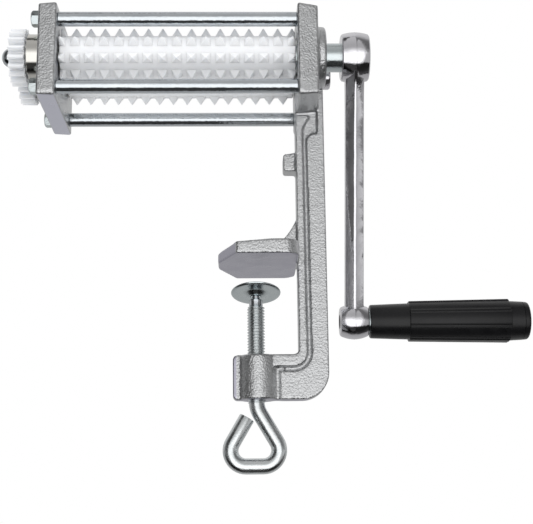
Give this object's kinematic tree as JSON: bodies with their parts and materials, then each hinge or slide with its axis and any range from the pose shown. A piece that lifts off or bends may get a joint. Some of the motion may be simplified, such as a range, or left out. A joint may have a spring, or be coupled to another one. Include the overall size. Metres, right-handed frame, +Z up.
{
  "type": "pasta roller machine",
  "caption": "Hand-cranked table-clamped kitchen machine with two meshing toothed plastic rollers between cast end plates on tie rods.",
  "frame": {"origin": "on the flat underside of the clamp's jaw, on the clamp screw's axis", "axes": "+X along the rollers towards the crank, +Y away from the user, +Z up along the clamp screw"},
  "size_m": [0.293, 0.0668, 0.2534],
  "materials": {
    "cast_aluminium": "as-cast, lightly tumbled",
    "bright_steel": "bright nickel-plated bar",
    "zinc_steel": "bright zinc plate",
    "turned_bush": "turned and polished",
    "white_plastic": "moulded, satin",
    "chrome": "chrome plate over a forging",
    "black_oxide_steel": "black oxide",
    "black_plastic": "moulded, semi-gloss"
  },
  "bodies": {
    "frame": {"clamp_frame": "cast_aluminium", "end_plate": "cast_aluminium", "tie_rod_front_bottom": "bright_steel", "tie_rod_front_top": "bright_steel", "tie_rod_rear_bottom": "bright_steel", "tie_rod_rear_top": "bright_steel", "tie_rod_screws": "zinc_steel", "front_left_bush": "turned_bush", "rear_left_bush": "turned_bush", "front_right_bush": "turned_bush", "rear_right_bush": "turned_bush"},
    "crank_drive": {"front_roller": "white_plastic", "drive_shaft": "zinc_steel", "drive_gear": "white_plastic", "front_gear_screw": "zinc_steel", "crank_arm": "chrome", "crank_set_screw": "black_oxide_steel", "handle_spindle": "zinc_steel", "handle_washer": "zinc_steel"},
    "rear_drive": {"rear_roller": "white_plastic", "rear_shaft": "zinc_steel", "driven_gear": "white_plastic", "rear_gear_screw": "zinc_steel", "rear_shaft_nut": "chrome"},
    "handle": {"handle_grip": "black_plastic", "handle_end_cap": "black_plastic"},
    "screw_swivel": {"swivel_collar": "zinc_steel"},
    "clamp_screw": {"clamp_screw": "zinc_steel"},
    "pad": {"pressure_pad": "zinc_steel"}
  },
  "joints": [
    {"name": "crank_turn", "type": "hinge", "parent": "frame", "child": "crank_drive", "pos_m": [0, -0.01425, 0.1161], "axis": [1, 0, 0], "continuous": true},
    {"name": "rear_roller_turn", "type": "hinge", "parent": "frame", "child": "rear_drive", "pos_m": [0, 0.01425, 0.1161], "axis": [1, 0, 0], "continuous": true},
    {"name": "grip_turn", "type": "hinge", "parent": "crank_drive", "child": "handle", "pos_m": [0.1, 0.01925, -0.02785], "axis": [1, 0, 0], "continuous": true},
    {"name": "clamp_travel", "type": "slide", "parent": "frame", "child": "screw_swivel", "axis": [0, 0, 1], "range_m": [-0.0238, 0.00395]},
    {"name": "screw_turn", "type": "hinge", "parent": "screw_swivel", "child": "clamp_screw", "pos_m": [0, 0, -0.04], "axis": [0, 0, 1], "range_deg": [-5402, 900]},
    {"name": "pad_tilt", "type": "hinge", "parent": "screw_swivel", "child": "pad", "pos_m": [0, 0, -0.017], "axis": [1, 0, 0], "range_deg": [0, 29]}
  ],
  "couplings": [
    {"joint": "rear_roller_turn", "follows": "crank_turn", "ratio": -1},
    {"joint": "screw_turn", "follows": "clamp_travel", "rad_per_m": 3957.9}
  ]
}
